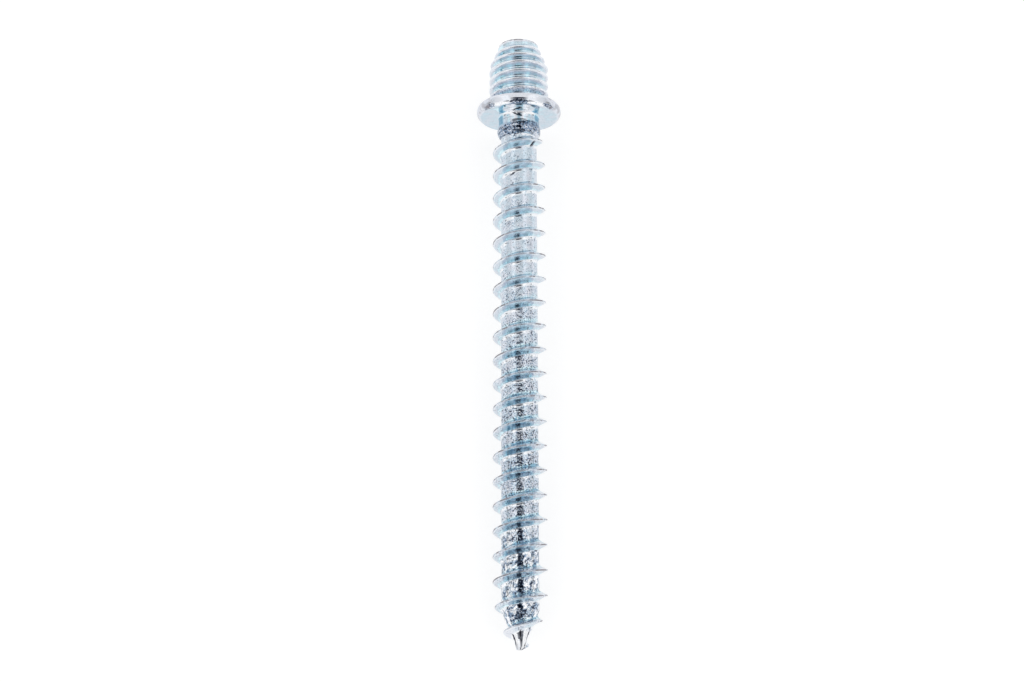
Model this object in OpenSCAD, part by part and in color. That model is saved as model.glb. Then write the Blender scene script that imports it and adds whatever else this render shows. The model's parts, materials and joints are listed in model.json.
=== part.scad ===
// Collared coach screw: a short machine-threaded stub, a round collar, a plain neck,
// and a long coarse wood thread that winds down to a gimlet point.
// It lies on its side, as it comes to rest on a table: the collar's rim and the
// thread's crests touch Z = 0, and the stub points to +Y.

/* [Machine stub] */
// Outer diameter of the machine thread
stub_d = 8; // [7:0.1:10]
// Length of the stub above the collar
stub_len = 8.9; // [7:0.1:14]
// Diameter of the stub's flat end
stub_end_d = 5.4; // [3.5:0.1:6]
// Length of the cone that leads a nut on to the thread
lead_in_len = 3.3; // [2:0.1:4.5]
// Bevel that breaks the edge of the flat end
end_bevel = 0.25; // [0.1:0.05:0.5]
// Distance along the stub from one crest to the next
stub_pitch = 1.25; // [1:0.05:1.6]
// Depth of the machine thread's groove
stub_groove = 0.72; // [0.4:0.02:0.9]
// Length from the flat end over which the groove reaches its depth
stub_groove_run = 2.2; // [1:0.1:3.5]
// Width of the machine thread's crest, and of its root
stub_crest_w = 0.18; // [0.1:0.02:0.3]
// Height above the collar's seat at which a crest of the stub passes the +X side
stub_first_crest = 2.06; // [1.7:0.01:3]
// Height of the plain ring at the collar, where the machine thread runs out
runout_h = 0.25; // [0.1:0.05:0.6]

/* [Collar] */
// Diameter of the collar
collar_d = 11.3; // [10:0.1:16]
// Thickness of the collar
collar_t = 1.65; // [1.2:0.05:3]
// Radius that rounds both edges of the collar's rim
rim_r = 0.75; // [0.3:0.05:0.8]

/* [Neck] */
// Diameter of the plain neck below the collar
neck_d = 5.4; // [5.2:0.05:6.2]
// Length of the neck, from the collar to the thread
neck_len = 3.2; // [2.6:0.1:6]
// Fillet between the collar's seat and the neck
seat_fillet_r = 0.35; // [0.1:0.05:0.8]
// Diameter of the ring of metal pushed up where thread rolling began
swell_d = 5.8; // [5.2:0.05:6.4]
// Width of that ring
swell_len = 2.3; // [1:0.1:2.4]
// Radius that rounds the ring's lower edge
swell_edge_r = 1.15; // [0.3:0.05:1.2]

/* [Wood thread] */
// Diameter over the wood thread's crests
thread_d = 7; // [6:0.1:8]
// Diameter of the core between the threads
core_d = 4.8; // [4.2:0.1:5.1]
// Distance along the screw from one crest to the next
pitch = 3.2; // [2.8:0.1:4]
// Width of the thread's crest
crest_w = 0.16; // [0.1:0.02:0.4]
// Angle of each flank from square to the axis
flank_deg = 27; // [20:1:32]
// Radius-like reach of the hollow where a flank meets the core
root_reach = 0.3; // [0.1:0.05:0.4]
// Depth below the collar's seat at which the first crest passes the +X side
first_crest = 3.55; // [3.4:0.05:5]
// Part of a turn over which the thread rises out of the core
start_turn = 0.36; // [0.1:0.01:0.5]

/* [Gimlet point] */
// Length from the collar's seat to the tip
shank_len = 71.2; // [40:0.2:90]
// Length over which the core narrows to the tip
core_taper_len = 4.9; // [4:0.1:9]
// Length over which the crests close in on the tip
crest_taper_len = 8; // [6:0.1:11]
// How full the crests' outline stays: 1 is a plain arc, less is fuller
crest_fullness = 0.72; // [0.45:0.01:1]
// Diameter of the blunt tip
tip_d = 0.85; // [0.5:0.05:1.2]

/* [Hidden] */
zinc = [0.80, 0.84, 0.88];

// Facets round the turned surfaces, and steps round one turn of each thread
round_fn = 72;
turn_steps = 24;
stub_turn_steps = 32;
arc_steps = 6;

stub_r = stub_d / 2;
stub_end_r = stub_end_d / 2;
collar_r = collar_d / 2;
neck_r = neck_d / 2;
swell_r = swell_d / 2;
core_radius = core_d / 2;
thread_r = thread_d / 2;
tip_r = tip_d / 2;
stub_top = collar_t + stub_len;
// The plain ring stands this much proud of the crests, so that a nut's face meets the collar
runout_r = stub_r + 0.02;

// Roundings stay inside the walls that they round
rim_rr = min(rim_r, collar_t * 0.49);
fillet_rr = min(seat_fillet_r, collar_r - rim_rr - neck_r - 0.1, neck_len - swell_len);
edge_rr = min(swell_edge_r, swell_len / 2);

function clamp01(x) = max(0, min(1, x));
function smooth01(x) = let (t = clamp01(x)) t * t * (3 - 2 * t);
function arc(cx, cz, r, from, to) =
    [for (k = [0:arc_steps]) let (a = from + (to - from) * k / arc_steps)
        [cx + r * cos(a), cz + r * sin(a)]];

// The wood thread starts inside the neck, by this much past one whole turn
thread_embed = 0.7;
// A thread is drawn this much past its end, and cropped there
crop_margin = 0.3;

// Radii at a depth below the collar's seat
function core_r_at(depth) =
    tip_r + (core_radius - tip_r) * clamp01((shank_len - depth) / core_taper_len);
function crest_r_at(depth) =
    let (u = clamp01((shank_len - depth) / crest_taper_len))
    tip_r + (thread_r - tip_r) * pow(1 - (1 - u) * (1 - u), crest_fullness);
function start_rise(depth) =
    smooth01((depth - neck_len + thread_embed / 2) / (start_turn * pitch));
function ridge_h_at(depth) =
    max(0, crest_r_at(depth) - core_r_at(depth)) * start_rise(depth);

// One section of the wood thread: [offset along the axis, share of the ridge's height]
function half_base(h) = crest_w / 2 + h * tan(flank_deg);
function wood_section(h) = let (reach = root_reach * clamp01(h / (root_reach * 2)))
    [[-half_base(h) - reach / 2, 0],
     [-half_base(h) + reach / 2, 0.22],
     [-crest_w / 2, 1],
     [crest_w / 2, 1],
     [half_base(h) - reach / 2, 0.22],
     [half_base(h) + reach / 2, 0]];

// The machine thread's radii: a cone leads in at the flat end, the grooves deepen along it,
// and inside the collar the rod narrows so that nothing shows below the seat
stub_hidden_from = -collar_t + stub_pitch / 2;
function lead_in(depth) = clamp01((depth + stub_top - end_bevel) / (lead_in_len - end_bevel));
function stub_crest_r_at(depth) = stub_end_r + (stub_r - stub_end_r) * lead_in(depth);
function stub_groove_at(depth) = stub_groove * smooth01((depth + stub_top) / stub_groove_run);
function stub_r_at(depth, share) =
    depth > stub_hidden_from ? core_radius
                             : stub_crest_r_at(depth) - stub_groove_at(depth) * (1 - share);
stub_root_at = (stub_pitch - stub_crest_w) / 2;
stub_section = [
    [-stub_root_at, 0],
    [-stub_crest_w / 2, 1],
    [stub_crest_w / 2, 1],
    [stub_root_at, 0]];

// A right-handed threaded rod round the Z axis, with closed ends, from depth top to depth
// bottom. Its crest passes the +X side at the depth phase. section(depth) gives one turn's
// points as [offset along the axis, share of the ridge's height], and
// radius_at(depth, offset, share) gives their radii.
module threaded_rod(top, bottom, turn, phase, steps, section, radius_at) {
    last = ceil((bottom - top) * steps / turn);
    count = len(section(top));

    function depth_at(i) = top + turn * i / steps;
    function point(i, j) =
        let (depth = depth_at(i), s = section(depth)[j], r = radius_at(depth, s[0], s[1]),
             a = -360 * (depth - phase) / turn)
        [r * cos(a), r * sin(a), -depth - s[0]];

    // The section's last point on one turn is joined to its first point on the next turn
    function line_index(i) = i <= last ? i * count : (last + 1) * count + i - last - 1;
    function index(i, j) =
        j == count ? line_index(i + steps) : (j == 0 ? line_index(i) : i * count + j);

    points = concat(
        [for (i = [0:last]) for (j = [0:count - 1]) point(i, j)],
        [for (i = [last + 1:last + steps]) point(i, 0)],
        [[0, 0, crop_margin - top], [0, 0, -depth_at(last + steps) - crop_margin]]);
    top_apex = len(points) - 2;
    end_apex = len(points) - 1;

    faces = concat(
        [for (i = [0:last - 1]) for (j = [0:count - 1])
            [index(i, j), index(i, j + 1), index(i + 1, j + 1)]],
        [for (i = [0:last - 1]) for (j = [0:count - 1])
            [index(i, j), index(i + 1, j + 1), index(i + 1, j)]],
        [for (i = [0:steps - 1]) [line_index(i), line_index(i + 1), top_apex]],
        [for (j = [0:count - 1]) [index(0, j + 1), index(0, j), top_apex]],
        [for (j = [0:count - 1]) [index(last, j), index(last, j + 1), end_apex]],
        [for (i = [last:last + steps - 1]) [line_index(i + 1), line_index(i), end_apex]]);
    polyhedron(points = points, faces = faces, convexity = 10);
}

// How it lies: the collar's rim and one crest of the thread touch the table.
// Each crest on the underside would need its own tilt, and the least one holds.
rim_cz = rim_rr;
rim_cr = collar_r - rim_rr;
function crest_tilt(depth) =
    let (run = rim_cz + depth, drop = rim_cr - crest_r_at(depth))
    asin(rim_rr / norm([run, drop])) + atan2(drop, run);
lay_tilt = min([for (d = [first_crest + pitch * 0.75:pitch:shank_len]) crest_tilt(d)]);
lay_height = rim_cr * cos(lay_tilt) + rim_rr - rim_cz * sin(lay_tilt);
y_front = stub_top * cos(lay_tilt) + (stub_end_r - end_bevel) * sin(lay_tilt);
y_back = -shank_len * cos(lay_tilt) - tip_r * sin(lay_tilt);
lay_y = -(y_front + y_back) / 2;

// Outlines of the turned forms, each from the axis outwards and back
end_cutter_r = stub_r + end_bevel;
end_cutter_outline = [
    [0, stub_top],
    [stub_end_r - end_bevel, stub_top],
    [end_cutter_r, stub_top - end_cutter_r + stub_end_r - end_bevel],
    [end_cutter_r, stub_top + 3 * stub_pitch],
    [0, stub_top + 3 * stub_pitch]];
collar_outline = concat(
    [[0, collar_t + runout_h], [runout_r, collar_t + runout_h], [runout_r, collar_t]],
    arc(rim_cr, collar_t - rim_rr, rim_rr, 90, 0),
    arc(rim_cr, rim_rr, rim_rr, 0, -90),
    [[0, 0]]);
neck_outline = concat(
    [[0, 0]],
    arc(neck_r + fillet_rr, -fillet_rr, fillet_rr, 90, 180),
    [for (k = [0:arc_steps]) let (t = k / arc_steps)
        [neck_r + (swell_r - neck_r) * smooth01(t),
         -neck_len + swell_len - t * (swell_len - edge_rr)]],
    arc(swell_r - edge_rr, edge_rr - neck_len, edge_rr, -90 / arc_steps, -90),
    [[0, -neck_len]]);

module machine_stub() {
    color(zinc) difference() {
        threaded_rod(-stub_top - 1.5 * stub_pitch, -collar_t + stub_pitch / 10, stub_pitch,
                     -stub_first_crest, stub_turn_steps,
                     function(depth) stub_section,
                     function(depth, offset, share) stub_r_at(depth + offset, share));
        rotate_extrude($fn = round_fn)
            polygon(end_cutter_outline);
    }
}

module collar() {
    color(zinc) rotate_extrude($fn = round_fn)
        polygon(collar_outline);
}

module neck() {
    color(zinc) rotate_extrude($fn = round_fn)
        polygon(neck_outline);
}

module wood_thread() {
    color(zinc) difference() {
        threaded_rod(neck_len - thread_embed - pitch, shank_len + crop_margin, pitch,
                     first_crest, turn_steps,
                     function(depth) wood_section(ridge_h_at(depth)),
                     function(depth, offset, share)
                         core_r_at(depth + offset) + ridge_h_at(depth) * share);
        translate([0, 0, -shank_len - 2 * pitch])
            cylinder(h = 2 * pitch, r = core_radius, $fn = round_fn);
    }
}

module coach_screw() {
    translate([0, lay_y, lay_height]) rotate([lay_tilt - 90, 0, 0]) union() {
        machine_stub();
        collar();
        neck();
        wood_thread();
    }
}

coach_screw();
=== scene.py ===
import json
import math

import bpy
from mathutils import Matrix, Vector, noise

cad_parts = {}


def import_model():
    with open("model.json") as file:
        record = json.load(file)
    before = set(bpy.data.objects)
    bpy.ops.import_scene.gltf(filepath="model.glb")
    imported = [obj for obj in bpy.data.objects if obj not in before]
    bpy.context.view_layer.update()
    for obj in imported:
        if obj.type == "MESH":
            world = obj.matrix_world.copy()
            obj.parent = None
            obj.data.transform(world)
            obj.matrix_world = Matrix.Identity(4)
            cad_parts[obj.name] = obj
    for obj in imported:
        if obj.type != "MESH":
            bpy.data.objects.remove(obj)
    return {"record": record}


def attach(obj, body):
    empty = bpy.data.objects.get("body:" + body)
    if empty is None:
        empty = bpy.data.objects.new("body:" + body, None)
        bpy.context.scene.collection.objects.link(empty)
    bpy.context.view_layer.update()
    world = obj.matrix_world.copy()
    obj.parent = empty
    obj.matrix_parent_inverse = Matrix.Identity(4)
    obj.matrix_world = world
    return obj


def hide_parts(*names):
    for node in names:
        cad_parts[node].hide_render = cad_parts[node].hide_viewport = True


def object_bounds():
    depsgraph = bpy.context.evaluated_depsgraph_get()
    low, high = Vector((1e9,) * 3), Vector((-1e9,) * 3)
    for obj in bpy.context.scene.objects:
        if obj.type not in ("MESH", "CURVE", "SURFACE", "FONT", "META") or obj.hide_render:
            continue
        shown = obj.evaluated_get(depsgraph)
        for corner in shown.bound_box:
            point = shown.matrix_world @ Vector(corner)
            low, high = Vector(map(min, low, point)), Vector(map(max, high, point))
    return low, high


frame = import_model()
cad_low, cad_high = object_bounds()

MM = 0.001
TAU = 2 * math.pi

# Where the screw lies, from the frame's mounts
mounts = {m["name"]: m for m in frame["record"]["mounts"]}
seat_point = Vector(mounts["collar_wood_seat"]["pos_m"])
screw_axis = -Vector(mounts["collar_wood_seat"]["axis"]).normalized()
across_axis = Vector((1, 0, 0))
below_axis = screw_axis.cross(across_axis)
lay = Matrix((across_axis, below_axis, screw_axis)).transposed().to_4x4() @ Matrix.Scale(MM, 4)
lay.translation = seat_point

# The screw's sizes in mm; heights run along its axis from the collar's seat
stub_r = mounts["stud"]["dims"]["r_mm"]
collar_t = (Vector(mounts["collar_top_seat"]["pos_m"]) - seat_point).length / MM
collar_r = (cad_high.x - cad_low.x) / 2 / MM
lead_in_len = 3.3
runout_h = 0.25
stub_top = collar_t + mounts["stud"]["dims"]["length_mm"]
stub_end_r = 2.7
end_bevel = 0.25
rim_r = 0.75
neck_r = 2.7
neck_len = 3.2
seat_fillet_r = 0.35
swell_r = 2.9
swell_len = 2.3
swell_edge_r = 1.15
swell_edge_from = -8

# Machine thread, in mm
stub_pitch = 1.25
stub_groove_depth = 0.72
stub_groove_run = 2.2
stub_crest_half = 0.09
stub_crest_flat = 0.6
stub_crest_round = 0.06
stub_root_half = 0.05
stub_flank_reach = 0.44
stub_first_crest = 0.44
stub_spare_turns = 1.6
stub_least_r = 0.3

# Wood thread, in mm and degrees
pitch = 3.2
thread_r = 3.5
core_r = 2.4
crest_half = 0.07
flank_slope = math.tan(math.radians(27))
least_ridge = 0.001
root_round = 0.16
root_sink = 0.1
crest_round = 0.05
first_crest = 3.55
start_turn = 0.36
shank_len = 71.2
core_taper_len = 4.9
crest_taper_len = 8.0
crest_fullness = 0.72
tip_r = 0.42
nose_len = 0.4
nose_least = 0.1
past_tip = 0.3
thread_embed = 0.7

# Relief that rolling left on the core, in mm, and how often its marks, the painted highlight streaks
# and the painted light and dark blotches come along the surface
grain_relief = 0.008
bump_height = 0.016
grain_most = 1.3
grain_per_mm = 2.2
finer_grain = 2.1
painted_blotches_per_mm = 2.2
highlight_streaks_per_mm = 0.7
rubs_per_mm = 0.6

# Where the plating, its painted highlights and its painted shade change, in mm; the rough band on the
# neck slants by so much per mm
neck_slant = 0.17
rough_from = 1.45
rough_to = 3.05
rim_highlight_from = 4.9
seat_margin = 0.02
dark_core_from = 54
tip_highlight_from = 68.3
tip_highlight_run = 0.8

# Handling marks on the photographed side, and the painted shadow of one notch, in mm: two ends across
# and down, half the width, depth
marks_and_notch_shadow = ((-0.8, 0.2, 0.35, 0.68, 0.12, 0.04),
         # The painted shadow in the notch where the first ridge grows out of the neck, over a small
         # gouge
         (2.05, 4.25, 1.5, 4.7, 0.15, 0.08),
         (-1.1, 8.9, -0.45, 8.5, 0.22, 0.03),
         (-1.1, 10.4, -0.7, 9.9, 0.08, 0.05),
         (0.6, 43.9, 0.9, 44.4, 0.12, 0.05))

# Dark lines down the pinched point, painted as its dark reflections over shallow seam grooves: angles
# round the axis, and sizes in mm
seams_and_reflection_lines = (-90, -36, -144, 90)
seam_half = 0.1
seam_least_half = 0.01
seam_full_r = 0.7
seam_cut = 0.02
seam_wander_per_mm = 2.5

# Colours of the zinc film, of its cyan tint and painted cyan reflections, of painted highlights,
# glints, dark specks and pit shade, of wear with painted edge shade, and of marks with painted shadow
thin_film = (0.69, 0.72, 0.79, 1)
cyan_tint_and_reflection = (0.51, 0.68, 0.77, 1)
deep_cyan_reflection = (0.69, 0.88, 0.94, 1)
darkest_cyan_reflection = (0.28, 0.50, 0.64, 1)
highlight_white = (0.95, 0.96, 0.98, 1)
glint = (0.95, 0.96, 1, 1)
painted_dark_speck = (0.20, 0.29, 0.42, 1)
pit_shade = (0.02, 0.03, 0.06, 1)
worn_edge_and_shade = (0.25, 0.23, 0.25, 1)
mark_and_shadow_black = (0.02, 0.02, 0.04, 1)

# The floor in metres, its grey, and the light it adds to what it reflects, so that it is white
floor_size = 4
floor_grey = (0.4, 0.4, 0.4, 1)
floor_lift = 0.74

# The studio: its even light, what the long lamps add, and the dark gap between them
room_light = 0.92
lamp_extra = 0.2
white_light = (1, 1, 1, 1)
gap_dark = (0.006, 0.016, 0.04, 1)
gap_waist_at = 25

# How finely the surfaces are cut; the cuts along a thread's profile are shares of each stretch
thread_steps = 96
turned_steps = 160
cutter_steps = 48
arc_steps = 10
plain_rows = 8
flank_cuts = (0.08, 0.25, 0.45, 0.65, 0.82, 0.95)
root_cuts = (0.06, 0.16, 0.28, 0.45, 0.65, 0.85, 1.0)
stub_flank_cuts = (0.35, 0.6, 0.85, 1.0)
cap_reach = 0.1
sharp_angle = 35


def clamp01(x):
    return max(0.0, min(1.0, x))


def smooth01(x):
    t = clamp01(x)
    return t * t * (3 - 2 * t)


def rise(x, start, run):
    """0 up to start and 1 from a run beyond it, with a soft slope between."""
    return smooth01((x - start) / run)


def drop(x, end, run):
    """1 until a run before end and 0 from end on, with a soft slope between."""
    return smooth01((end - x) / run)


def smooth_max(a, b, width):
    """The larger of a and b, with the corner between them rounded over about width."""
    return 0.5 * (a + b + math.sqrt((a - b) ** 2 + width * width))


def mesh_object(name, verts, faces):
    mesh = bpy.data.meshes.new(name)
    mesh.from_pydata(verts, [], faces)
    mesh.validate()
    obj = bpy.data.objects.new(name, mesh)
    bpy.context.scene.collection.objects.link(obj)
    return obj


def turned_shell(name, outline, steps=turned_steps):
    """A closed turned form from an outline of (radius, height) that starts and ends on the axis."""
    ring_points = outline[1:-1]
    verts = [(0, 0, outline[0][1])]
    for radius, height in ring_points:
        for k in range(steps):
            angle = TAU * k / steps
            verts.append((radius * math.cos(angle), radius * math.sin(angle), height))
    verts.append((0, 0, outline[-1][1]))
    faces = []
    last = len(verts) - 1
    last_ring = 1 + (len(ring_points) - 1) * steps
    for k in range(steps):
        n = (k + 1) % steps
        faces.append((0, 1 + k, 1 + n))
        faces.append((last, last_ring + n, last_ring + k))
        for ring in range(len(ring_points) - 1):
            upper = 1 + ring * steps
            lower = upper + steps
            faces.append((upper + k, lower + k, lower + n, upper + n))
    return mesh_object(name, verts, faces)


def helical_shell(name, top, bottom, turn, phase_depth, section, radius_at, steps=thread_steps):
    """A closed threaded rod. top and bottom are the depths of its first and last ridge.

    section(depth) gives the offsets along the axis of one turn's points, and
    radius_at(depth, offset) gives their radii."""
    count = math.ceil((bottom - top) * steps / turn)
    rows = []
    for i in range(count + 1 + steps):
        depth = top + turn * i / steps
        angle = -TAU * (depth - phase_depth) / turn
        offsets = section(depth) if i <= count else section(depth)[:1]
        row = []
        for offset in offsets:
            r = radius_at(depth, offset)
            row.append((r * math.cos(angle), r * math.sin(angle), -depth - offset))
        rows.append(row)
    points = len(rows[0])
    verts = [v for row in rows for v in row]

    def line(i):
        """The first vertex of row i; the rows of the last turn have no other."""
        return i * points if i <= count else (count + 1) * points + i - count - 1

    def at(i, j):
        """Vertex j of row i; the one past its end belongs to the row a turn further on."""
        return line(i + steps) if j == points else line(i) + j

    faces = [(at(i, j), at(i + 1, j), at(i + 1, j + 1), at(i, j + 1))
             for i in range(count) for j in range(points)]
    first = len(verts)
    verts.append((0, 0, -top + turn * cap_reach))
    verts.append((0, 0, -(top + turn * (count + steps * (1 + cap_reach)) / steps)))
    faces += [(line(i + 1), line(i), first) for i in range(steps)]
    faces += [(at(0, j), at(0, j + 1), first) for j in range(points)]
    faces += [(at(count, j + 1), at(count, j), first + 1) for j in range(points)]
    faces += [(line(i), line(i + 1), first + 1) for i in range(count, count + steps)]
    return mesh_object(name, verts, faces)


def mirrored_offsets(half):
    """One turn's offsets, from the near half turn to the far one, without the shared last point."""
    return [-x for x in reversed(half)] + half[1:-1]


def nose(depth):
    """Share of the radius that is left where the tip is rounded off."""
    past = clamp01((depth - shank_len + nose_len) / nose_len)
    return max(nose_least, math.sqrt(1 - past * past))


def core_r_at(depth):
    """Radius of the core, which closes in evenly on the tip."""
    r = tip_r + (core_r - tip_r) * clamp01((shank_len - depth) / core_taper_len)
    return r * nose(depth)


def crest_r_at(depth):
    """Radius over the wood thread's crest, which closes in on the tip along a full curve."""
    u = clamp01((shank_len - depth) / crest_taper_len)
    r = tip_r + (thread_r - tip_r) * (1 - (1 - u) ** 2) ** crest_fullness
    return r * nose(depth)


def ridge_height(depth):
    """Height of the wood thread over the core; it grows out of the neck."""
    grown = smooth01((depth - neck_len + thread_embed / 2) / (start_turn * pitch))
    return max(0.0, crest_r_at(depth) - core_r_at(depth)) * grown


def wood_section(depth):
    """Offsets of one turn's points along the axis: over the crest, down the flanks, to the root."""
    flank = ridge_height(depth) * flank_slope
    base = crest_half + flank
    reach = pitch / 2 - base
    half = [0, crest_half * 0.5, crest_half]
    half += [crest_half + flank * f for f in flank_cuts]
    half += [base + reach * f for f in root_cuts]
    return mirrored_offsets(half)


def wood_radius(depth, offset):
    """Straight flanks with a rounded crest, and a fillet at the root where they meet the core."""
    height = ridge_height(depth)
    if height < least_ridge:
        return core_r_at(depth + offset)
    line = height
    if offset != 0:
        slope = height - max(0.0, abs(offset) - crest_half) / flank_slope
        line = -smooth_max(-slope, -height, crest_round)
    fillet = min(root_round, height)
    return core_r_at(depth + offset) + max(0.0, smooth_max(line, 0, fillet) - fillet * root_sink)


def wood_thread():
    top = neck_len - thread_embed - pitch
    return helical_shell("wood_thread", top, shank_len + past_tip, pitch, first_crest,
                         wood_section, wood_radius)


def lead_in(depth):
    """0 at the stub's end and 1 where its lead-in cone reaches the full diameter."""
    return clamp01((depth + stub_top - end_bevel) / (lead_in_len - end_bevel))


def stub_envelope(depth):
    """Radius over the machine thread's crests, with a cone that leads in at the end."""
    return stub_end_r + (stub_r - stub_end_r) * lead_in(depth)


def stub_groove(depth):
    """Depth of the machine thread's groove, which fades in from the stub's end."""
    return stub_groove_depth * smooth01((depth + stub_top) / stub_groove_run)


def stub_section(depth):
    """Offsets of one turn's points along the axis of the stub: over the crest and into the groove."""
    half = [0, stub_crest_half * stub_crest_flat, stub_crest_half, stub_crest_half + stub_crest_round]
    half += [stub_crest_half + stub_flank_reach * f for f in stub_flank_cuts]
    half += [stub_pitch / 2 - stub_root_half, stub_pitch / 2]
    return mirrored_offsets(half)


def stub_radius(depth, offset):
    """A flat on the crest, and soft flanks down to a rounded groove."""
    at = depth + offset
    inner_crest = stub_crest_half * stub_crest_flat
    fall = smooth01((abs(offset) - inner_crest) / (stub_flank_reach + inner_crest))
    return max(stub_least_r, stub_envelope(at) - stub_groove(at) * fall)


def machine_thread():
    top = -stub_top - stub_pitch * stub_spare_turns
    return helical_shell("machine_thread", top, -collar_t * 0.5, stub_pitch, stub_first_crest,
                         stub_section, stub_radius)


def arc(cx, cz, r, start, stop):
    """Points of an outline along an arc, between two angles in degrees."""
    return [(cx + r * math.cos(math.radians(start + (stop - start) * k / arc_steps)),
             cz + r * math.sin(math.radians(start + (stop - start) * k / arc_steps)))
            for k in range(arc_steps + 1)]


def collar_and_neck():
    """The collar with its round rim, the fillet under it, the neck and its swelling."""
    rim_c = collar_r - rim_r
    ring_r = stub_r + 0.02
    outline = [(0, collar_t + runout_h), (ring_r, collar_t + runout_h), (ring_r, collar_t)]
    outline += arc(rim_c, collar_t - rim_r, rim_r, 90, 0)
    outline += arc(rim_c, rim_r, rim_r, 0, -90)
    outline += arc(neck_r + seat_fillet_r, -seat_fillet_r, seat_fillet_r, 90, 180)
    plain = neck_len - swell_len - seat_fillet_r
    outline += [(neck_r, -seat_fillet_r - plain * k / plain_rows) for k in range(1, plain_rows)]
    for k in range(arc_steps + 1):
        t = k / arc_steps
        outline.append((neck_r + (swell_r - neck_r) * smooth01(t),
                        -neck_len + swell_len - t * (swell_len - swell_edge_r)))
    outline += arc(swell_r - swell_edge_r, swell_edge_r - neck_len, swell_edge_r,
                   swell_edge_from, -90)
    outline.append((0, -neck_len))
    return turned_shell("collar_and_neck", outline)


def block(name, radius, low, high):
    """A round cutter or plug between two heights."""
    outline = [(0, high), (radius, high), (radius, low), (0, low)]
    return turned_shell(name, outline, cutter_steps)


def end_cutter():
    """Crops the stub flat at its end, with a rounded bevel round the edge."""
    far = stub_top + 4 * stub_pitch
    out = stub_r * 1.2
    rim_height = stub_top - end_bevel
    outline = [(0, far), (out, far), (out, rim_height - (out - stub_end_r))]
    outline += arc(stub_end_r - end_bevel, rim_height, end_bevel, 0, 90)
    outline.append((0, stub_top))
    return turned_shell("end_crop", outline)


def combine(target, other, how):
    """Join another closed form to the target or cut it away, and keep the result as plain mesh."""
    modifier = target.modifiers.new(how, "BOOLEAN")
    modifier.operation = how
    modifier.solver = "MANIFOLD"
    modifier.object = other
    bpy.context.view_layer.update()
    shaped = target.evaluated_get(bpy.context.evaluated_depsgraph_get())
    mesh = bpy.data.meshes.new_from_object(shaped)
    target.modifiers.clear()
    target.data = mesh
    bpy.data.objects.remove(other, do_unlink=True)
    return target


def screw_body():
    """Both threads and the turned forms, joined to one closed body that lies on the floor."""
    screw = wood_thread()
    combine(screw, block("tip_crop", core_r, -shank_len - 2 * pitch, -shank_len), "DIFFERENCE")
    stub = machine_thread()
    combine(stub, end_cutter(), "DIFFERENCE")
    combine(screw, stub, "UNION")
    combine(screw, collar_and_neck(), "UNION")
    screw.name = "dressed_screw"
    surface(screw.data)
    screw.data.transform(lay)
    return screw


def band(x, low, high, soft):
    """1 between low and high, with soft ends."""
    return smooth01((x - low + soft / 2) / soft) * smooth01((high - x + soft / 2) / soft)


def stub_masks(place, r):
    """Painted cyan reflections lie in the stub's grooves, more on its left, painted highlights on its
    crests, and it is grainy by the collar.
    """
    height = place.z
    fall = (stub_envelope(-height) - r) / max(0.1, stub_groove(-height))
    in_groove = rise(fall, 0.35, 0.4)
    on_crest = drop(fall, 0.3, 0.15)
    near_collar = drop(height, collar_t + 2.5, 2)
    end_edge = rise(height, stub_top - 0.3, 0.1) * rise(r, 2.0, 0.3)
    left = rise(-place.x, 1.8, 0.6) * rise(place.x, -3.5, 0.5)
    return {"tint_and_cyan_reflection": 0.05 + (0.65 + 0.5 * left) * in_groove,
            "painted_highlight": 0.5 * on_crest,
            "grain_and_painted_specks": 0.2 + 0.6 * near_collar,
            "wear_and_edge_shade": end_edge,
            "satin": in_groove}


def neck_masks(place, depth):
    """Painted highlight rings in front and where the thread starts, a thin dark ring, painted blue
    reflection at the sides, and a rough band lower down.
    """
    rough = band(depth + neck_slant * place.x, rough_from, rough_to, 0.25)
    sides = rise(abs(place.x), 1.85, 0.4)
    upper_ring = band(depth, 0.02, 0.68, 0.1)
    lower_ring = 0.95 * band(depth, 0.7, 1.4, 0.2)
    thread_start = rise(depth, 2.95, 0.15)
    return {"tint_and_cyan_reflection": (0.1 + 1.45 * sides) * band(depth, 0.1, 1.5, 0.3) * (1 - rough),
            "grain_and_painted_specks": 0.15 + 1.8 * rough,
            "wear_and_edge_shade": 0.5 * band(depth, 0.7, 0.77, 0.06),
            "painted_highlight": (1 - sides) * max(upper_ring, lower_ring) + 0.9 * thread_start}


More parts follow.
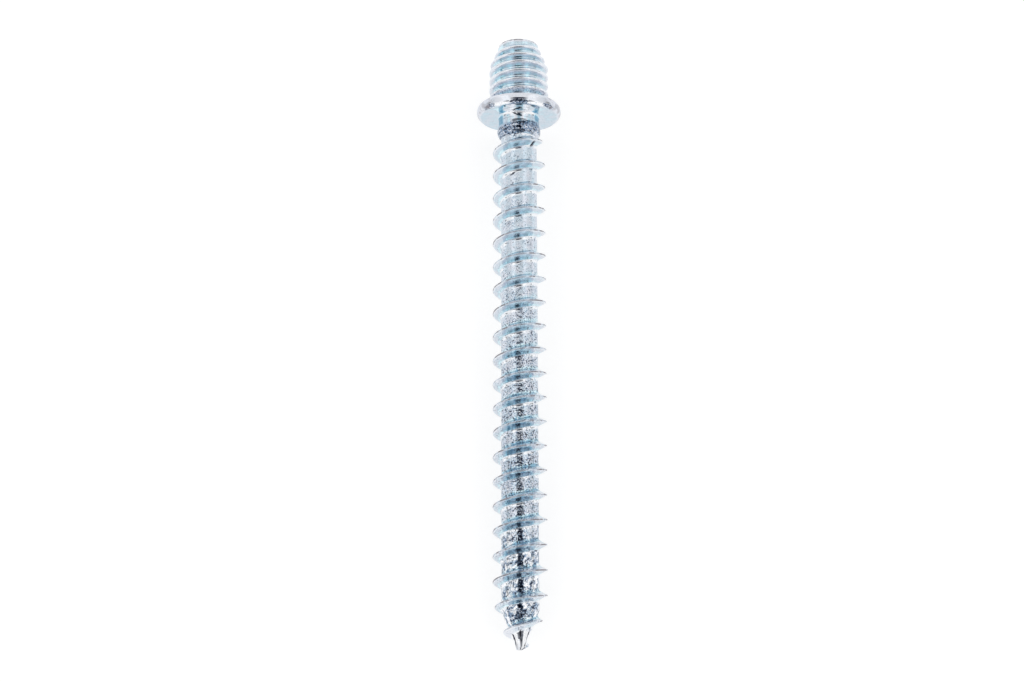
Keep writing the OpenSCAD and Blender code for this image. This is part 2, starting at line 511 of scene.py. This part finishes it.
def thread_masks(place, depth, r):
    """Painted cyan reflections on the flanks and towards the roots over the film's tint, rolled grain
    with painted specks on the core, painted highlights below the crests, in streaks, in blotches and
    over the tip, and painted dark near the tip.
    """
    height = max(0.05, ridge_height(depth))
    share = (r - core_r_at(depth)) / height
    turns = (depth - first_crest) / pitch + math.atan2(place.y, place.x) / TAU
    past_crest = (turns - round(turns)) * pitch
    past_root = abs(past_crest) - crest_half - height * flank_slope
    on_core = 1 - rise(share, 0.04, 0.1)
    on_edge = rise(share, 0.92, 0.05)
    below_edge = band(share, 0.78, 0.93, 0.08)
    at_tip = rise(depth, tip_highlight_from, tip_highlight_run)
    upper = 1 - rise(depth, 6, 20)
    lower = rise(depth, 12, 35)
    sides = rise(abs(place.x), 0.9, 0.9)

    # The film's tint everywhere, with painted cyan reflections on the flanks and on a strip of the
    # core just above each ridge
    flank = 0.95 * rise(share, 0.04, 0.12) * (1 - 0.9 * rise(share, 0.25, 0.35))
    strip = (0.5 + 0.8 * lower) * band(past_root, -0.2, 0.3, 0.15) if past_crest < 0 else 0
    film_and_reflection = max(flank, strip, 0.25 + 0.1 * upper)

    # Painted highlight streaks run on the core just below the ridges, with breaks
    streak_highlight = band(past_root, -0.05, 0.35, 0.15) if past_crest > 0 else 0
    streak_highlight *= rise(noise.noise(place * highlight_streaks_per_mm), -0.25, 0.2)

    # Grain grows down the core and where it was rubbed; near the tip it gets painted dark patches, a
    # painted dark line down the middle, and painted highlight blotches beside it
    rubbed = rise(noise.noise(place * rubs_per_mm), 0.05, 0.2)
    core_grain = on_core * (0.25 + 0.35 * rubbed + 0.7 * lower) * (1 - streak_highlight)
    lowest = rise(depth, dark_core_from, 6) * on_core
    beside = rise(abs(place.x), 0.25, 0.2)
    lump = noise.noise(place * painted_blotches_per_mm)
    blotch_highlight = rise(lump, 0.05, 0.1) * lowest * beside
    painted_dark = max(drop(lump, -0.05, 0.1), 1.2 * (1 - beside)) * lowest
    grain_and_painted_specks = max(core_grain, 0.35 * lower) - 0.8 * blotch_highlight + painted_dark

    # Crest wear, painted darker towards the sides as edge shade
    return {"tint_and_cyan_reflection": film_and_reflection * (1 - at_tip),
            "grain_and_painted_specks": 0.15 + grain_and_painted_specks * (1 - at_tip),
            "wear_and_edge_shade": on_edge * (1 - at_tip) * (0.35 + 0.65 * sides),
            "painted_highlight": max(at_tip * (0.25 + 0.75 * on_core), 0.8 * below_edge, 0.85 * streak_highlight, blotch_highlight)}


def collar_masks(place, r):
    """Painted highlights under the rim between rough patches painted dark, painted edge shade at the
    sides, and painted cyan reflection with a painted highlight on the underside by the neck.
    """
    across = abs(place.x)
    facing = 1 if place.y < 0 else 0
    under_rim = band(place.z, 0.03, 0.4, 0.08) * rise(r, rim_highlight_from, 0.1)
    under_rim *= 1 - 0.8 * rise(across, 3.2, 1.2)
    upper_rim = rise(place.z, 0.3, 0.2) * band(place.x, -3, 3, 2)
    patch = max(band(across, 3.3, 4.5, 0.5), drop(across, 1.4, 0.5))
    patch *= band(place.z, 0.06, 0.42, 0.12)
    underside = drop(place.z, 0.15, 0.15)
    front = drop(across, 2.2, 0.4) * facing
    middle_reflection = 0.9 * drop(abs(place.x - 0.1), 0.75, 0.35)
    film_and_reflection = max(middle_reflection, band(across, 1.7, 2.3, 0.3)) * underside * facing
    wear_and_edge_shade = max(0.4 * rise(place.z, 0.05, 0.2), patch)
    return {"tint_and_cyan_reflection": max(0.5 * underside * (1 - 0.6 * front), 1.4 * film_and_reflection),
            "painted_highlight": max(under_rim * (1 - patch), 0.35 * upper_rim,
                          0.75 * underside * front * (1 - film_and_reflection)),
            "grain_and_painted_specks": 0.15 + 2.1 * patch,
            "wear_and_edge_shade": wear_and_edge_shade * rise(across, 3, 1.2)}


def plating_masks(place):
    """How cyan, grainy, worn and satin the plating is at a place on the screw, and how much painted
    cyan reflection, painted specks, painted edge shade and painted highlight lie on it.
    """
    depth = -place.z
    r = math.hypot(place.x, place.y)
    if place.z > collar_t:
        return stub_masks(place, r)
    if place.z > -seat_margin:
        return collar_masks(place, r)
    if depth < neck_len:
        return neck_masks(place, depth)
    return thread_masks(place, depth, r)


def seam_and_reflection_line_at(place):
    """How much of a painted dark reflection line down the pinched point, over a shallow seam, is at a
    place.
    """
    depth = -place.z
    r = math.hypot(place.x, place.y)
    azimuth = math.degrees(math.atan2(place.y, place.x))
    off = min(abs((azimuth - seam + 180) % 360 - 180) for seam in seams_and_reflection_lines)
    wander = 1 + 2 * noise.noise(place * seam_wander_per_mm)
    half = max(seam_least_half, seam_half * min(1, r / seam_full_r) * wander)
    line = smooth01((half - r * math.radians(off)) / (0.5 * half) + 0.5)
    on_cone = drop(r, core_r_at(depth) + 0.2, 0.1)
    return line * on_cone * rise(depth, tip_highlight_from, tip_highlight_run)


def dark_mark_at(place):
    """How much of the handling marks, the painted notch shadow and the painted seam lines is at a
    place, and how deep it cuts in.
    """
    found = (seam_and_reflection_line_at(place), seam_cut)
    if place.y < 0:
        for x1, depth1, x2, depth2, half, cut in marks_and_notch_shadow:
            start = Vector((x1, depth1))
            run = Vector((x2, depth2)) - start
            at = Vector((place.x, -place.z)) - start
            along = clamp01(at.dot(run) / run.length_squared)
            width = half * (1 - 0.6 * abs(2 * along - 1))
            off = (at - run * along).length
            found = max(found, (smooth01((width - off) / width * 1.5), cut))
    return found


def surface(mesh):
    """Store the masks of the plating and of its painted reflections, highlights and shade, and raise
    the rolled grain of the core as real relief.
    """
    names = ("tint_and_cyan_reflection", "grain_and_painted_specks", "wear_and_edge_shade", "painted_highlight", "satin", "mark_and_painted_dark")
    for name in names:
        mesh.attributes.new(name, "FLOAT", "POINT")
    layers = {name: [0.0] * len(mesh.vertices) for name in names}
    normals = [v.normal.copy() for v in mesh.vertices]
    for vertex, normal in zip(mesh.vertices, normals):
        place = vertex.co.copy()
        values = plating_masks(place)
        values["mark_and_painted_dark"], cut = dark_mark_at(place)
        for name, value in values.items():
            layers[name][vertex.index] = value
        fine_lump = noise.noise(place * finer_grain * grain_per_mm)
        lump = noise.noise(place * grain_per_mm) + 0.5 * fine_lump
        raised = lump * min(grain_most, values["grain_and_painted_specks"]) * grain_relief - values["mark_and_painted_dark"] * cut
        vertex.co = place + normal * raised
    for name in names:
        mesh.attributes[name].data.foreach_set("value", layers[name])


class Nodes:
    """Short ways to add and join the nodes of one node tree."""

    # Places of the colour sockets on a mix node
    mix_a, mix_b, mixed = 6, 7, 2

    def __init__(self, tree):
        self.tree = tree

    def add(self, kind, settings=None, **inputs):
        node = self.tree.nodes.new(kind)
        for name, value in (settings or {}).items():
            setattr(node, name, value)
        for name, value in inputs.items():
            self.feed(node.inputs[name.replace("_", " ")], value)
        return node

    def feed(self, socket, value):
        if isinstance(value, bpy.types.NodeSocket):
            self.tree.links.new(value, socket)
        else:
            socket.default_value = value

    def math(self, operation, *values):
        node = self.add("ShaderNodeMath", {"operation": operation})
        for socket, value in zip(node.inputs, values):
            self.feed(socket, value)
        return node.outputs[0]

    def product(self, a, b):
        return self.math("MULTIPLY", a, b)

    def step(self, value, low, high, to_low=0.0, to_high=1.0):
        node = self.add("ShaderNodeMapRange", {"interpolation_type": "SMOOTHSTEP"}, Value=value,
                        From_Min=low, From_Max=high, To_Min=to_low, To_Max=to_high)
        return node.outputs["Result"]

    def mix(self, factor, a, b):
        node = self.add("ShaderNodeMix", {"data_type": "RGBA"})
        self.feed(node.inputs["Factor"], factor)
        self.feed(node.inputs[self.mix_a], a)
        self.feed(node.inputs[self.mix_b], b)
        return node.outputs[self.mixed]

    def noise(self, where, size_mm, detail=2.0):
        node = self.add("ShaderNodeTexNoise", Vector=where, Scale=1 / (size_mm * MM), Detail=detail)
        return node.outputs["Fac"]

    def mask(self, name):
        return self.add("ShaderNodeAttribute", {"attribute_name": name}).outputs["Fac"]


def film_and_reflection_colour(n, where):
    """The zinc film's tint, grey to blue in drifting patches, and the painted cyan reflections over
    it, up to deep and darkest cyan.
    """
    drift = n.step(n.noise(where, size_mm=0.9), 0.35, 0.65, -0.2, 0.2)
    film_and_reflection = n.math("ADD", n.mask("tint_and_cyan_reflection"), drift)
    colour = n.mix(film_and_reflection, thin_film, cyan_tint_and_reflection)
    uneven = n.step(n.noise(where, size_mm=0.6), 0.35, 0.6, 0.5, 1.0)
    colour = n.mix(n.product(n.step(film_and_reflection, 0.6, 0.95), uneven), colour, deep_cyan_reflection)
    return n.mix(n.step(film_and_reflection, 1.05, 1.3), colour, darkest_cyan_reflection)


def with_painted_specks(n, where, grain_and_painted_specks, colour):
    """Painted glints, painted dark specks and painted shade in the pits where the rolled grain is,
    over a colour.
    """
    glints = n.step(n.noise(where, size_mm=0.28, detail=1.0), 0.60, 0.66)
    colour = n.mix(n.product(glints, n.math("MINIMUM", grain_and_painted_specks, 0.8)), colour, glint)
    uneven = n.step(n.noise(where, size_mm=0.5), 0.35, 0.6, 0.0, 0.13)
    dense = n.product(n.step(grain_and_painted_specks, 1.3, 1.8), uneven)
    # Painted dark specks, denser where the grain is heavy
    speckle = n.math("MULTIPLY_ADD", grain_and_painted_specks, 0.04, n.noise(where, size_mm=0.14, detail=1.0))
    peppered = n.step(n.math("ADD", speckle, dense), 0.54, 0.69)
    colour = n.mix(n.product(peppered, n.math("MINIMUM", grain_and_painted_specks, 1.0)), colour, painted_dark_speck)
    # Painted shade in the pits
    pit_shade_mask = n.math("MULTIPLY_ADD", grain_and_painted_specks, 0.06, n.noise(where, size_mm=0.24, detail=1.0))
    pit_shade_mask = n.product(n.step(pit_shade_mask, 0.66, 0.71), n.math("MINIMUM", grain_and_painted_specks, 0.95))
    return n.mix(pit_shade_mask, colour, pit_shade)


def zinc_material():
    made = bpy.data.materials.new("blue_white_zinc")
    made.use_nodes = True
    n = Nodes(made.node_tree)
    shader = made.node_tree.nodes["Principled BSDF"]
    shader.inputs["Metallic"].default_value = 1
    where = n.add("ShaderNodeTexCoord").outputs["Object"]
    grain_and_painted_specks = n.mask("grain_and_painted_specks")
    wear_and_edge_shade = n.mask("wear_and_edge_shade")
    patchy = n.step(n.noise(where, size_mm=0.35), 0.3, 0.42)
    # Painted highlights, in patches, where the highlight mask is high
    colour = n.mix(n.product(n.mask("painted_highlight"), patchy), film_and_reflection_colour(n, where), highlight_white)
    colour = with_painted_specks(n, where, grain_and_painted_specks, colour)
    broken = n.step(n.noise(where, size_mm=0.8), 0.44, 0.56, 0.05, 0.95)
    # Wear on edges and crests, with painted edge shade at the sides, in a broken line
    colour = n.mix(n.product(wear_and_edge_shade, broken), colour, worn_edge_and_shade)
    # Handling marks, the painted shadow in the notch and the painted reflection lines down the tip,
    # near black
    colour = n.mix(n.mask("mark_and_painted_dark"), colour, mark_and_shadow_black)
    n.feed(shader.inputs["Base Color"], colour)
    rough = n.step(n.noise(where, size_mm=0.5), 0.3, 0.7, 0.05, 0.13)
    rough = n.math("MULTIPLY_ADD", wear_and_edge_shade, 0.2, rough)
    rough = n.math("MULTIPLY_ADD", n.mask("satin"), 0.07, rough)
    n.feed(shader.inputs["Roughness"], rough)
    lumps = n.product(n.noise(where, size_mm=0.42, detail=1.0), 2.0)
    specks = n.noise(where, size_mm=0.18, detail=1.0)
    height = n.product(n.math("ADD", lumps, specks), n.math("MINIMUM", grain_and_painted_specks, grain_most))
    bump = n.add("ShaderNodeBump", Height=height, Distance=bump_height * MM, Strength=1.0)
    n.feed(shader.inputs["Normal"], bump.outputs["Normal"])
    return made


def floor():
    bpy.ops.mesh.primitive_plane_add(size=floor_size, location=(0, 0, 0))
    plane = bpy.context.object
    plane.name = "floor"
    made = bpy.data.materials.new("white_table")
    made.use_nodes = True
    n = Nodes(made.node_tree)
    shader = made.node_tree.nodes["Principled BSDF"]
    shader.inputs["Base Color"].default_value = floor_grey
    shader.inputs["Roughness"].default_value = 0.9
    shader.inputs["Specular IOR Level"].default_value = 0
    shader.inputs["Emission Color"].default_value = white_light
    path = n.add("ShaderNodeLightPath")
    seen = n.math("MAXIMUM", path.outputs["Is Camera Ray"], path.outputs["Is Glossy Ray"])
    seen = n.math("MAXIMUM", seen, path.outputs["Is Transmission Ray"])
    n.feed(shader.inputs["Emission Strength"], n.product(seen, floor_lift))
    plane.data.materials.append(made)


def lamp_gap(n, across, y, z):
    """The dark gap between two long lamps overhead, where the camera stands."""
    along = n.math("ARCTAN2", y, z)
    from_waist = n.math("ABSOLUTE", n.math("ADD", along, math.radians(gap_waist_at)))

    def degrees_step(angle, low, high, to_low=0.0, to_high=1.0):
        return n.step(angle, math.radians(low), math.radians(high), to_low, to_high)

    length = n.product(degrees_step(along, -80, -52), degrees_step(along, 11, 15.5, 1.0, 0.0))
    length = n.product(length, degrees_step(along, -34, -8, 0.85, 1.0))
    wider = n.math("ADD", degrees_step(from_waist, 4, 9, 0.0, 0.2),
                   degrees_step(along, -42, -36, 0.22, 0.0))
    gap = n.product(n.step(n.math("SUBTRACT", across, wider), 0.0, 0.24, 1.0, 0.0), length)
    return n.product(gap, degrees_step(from_waist, 5, 9, 0.1, 1.0))


def low_screens(n, across, y, z):
    """Dark screens that stand low at both sides, up to a little behind the middle."""
    lean = n.math("MULTIPLY_ADD", y, -0.15, z)
    screens = n.product(n.step(across, 0.78, 0.90), n.step(lean, 0.12, 0.24, 1.0, 0.0))
    screens = n.product(screens, n.step(y, 0.10, 0.24, 0.85, 0.05))
    return n.product(screens, n.step(y, -0.32, -0.2))


def world():
    made = bpy.data.worlds.new("studio")
    made.use_nodes = True
    bpy.context.scene.world = made
    n = Nodes(made.node_tree)
    background = made.node_tree.nodes["Background"]
    where = n.add("ShaderNodeTexCoord").outputs["Generated"]
    x, y, z = n.add("ShaderNodeSeparateXYZ", Vector=where).outputs
    across = n.math("ABSOLUTE", x)
    lamps = n.product(n.step(across, 0.34, 0.46), n.step(across, 0.62, 0.78, 1.0, 0.0))
    lamps = n.product(lamps, n.step(z, 0.1, 0.3))
    front = n.product(n.step(y, -0.55, -0.9), n.step(across, 0.45, 0.75, 1.0, 0.0))
    light = n.math("MULTIPLY_ADD", n.math("MAXIMUM", lamps, front), lamp_extra, room_light)
    light = n.product(light, n.math("SUBTRACT", 1.0, low_screens(n, across, y, z)))
    n.feed(background.inputs["Color"], n.mix(lamp_gap(n, across, y, z), white_light, gap_dark))
    n.feed(background.inputs["Strength"], light)


def camera():
    """The photo's camera, found from the wood thread's even pitches along the axis."""
    focal_px = 1930.0
    image_w = 1024
    sensor_w = 36
    stand_off = 251.3 * MM
    view_tilt = math.radians(16.0)
    centre_height = -31.15
    side = 0.98 * MM
    roll = math.radians(-0.12)
    data = bpy.data.cameras.new("camera")
    data.sensor_width = sensor_w
    data.lens = sensor_w * focal_px / image_w
    data.clip_start = 0.01
    cam = bpy.data.objects.new("camera", data)
    bpy.context.scene.collection.objects.link(cam)
    target = lay @ Vector((0, 0, centre_height))
    forward = (screw_axis * math.sin(view_tilt) + below_axis * math.cos(view_tilt)).normalized()
    cam.location = target - forward * stand_off - across_axis * side
    turn = forward.to_track_quat("-Z", "Y").to_matrix().to_4x4()
    cam.matrix_world = Matrix.Translation(cam.location) @ turn @ Matrix.Rotation(roll, 4, "Z")
    bpy.context.scene.camera = cam


camera()
world()
floor()
screw = screw_body()
screw.data.materials.clear()
screw.data.materials.append(zinc_material())
screw.data.shade_smooth()
screw.data.set_sharp_from_angle(angle=math.radians(sharp_angle))
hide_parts("coach_screw")
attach(screw, "root")

bpy.context.scene.view_settings.view_transform = "Standard"
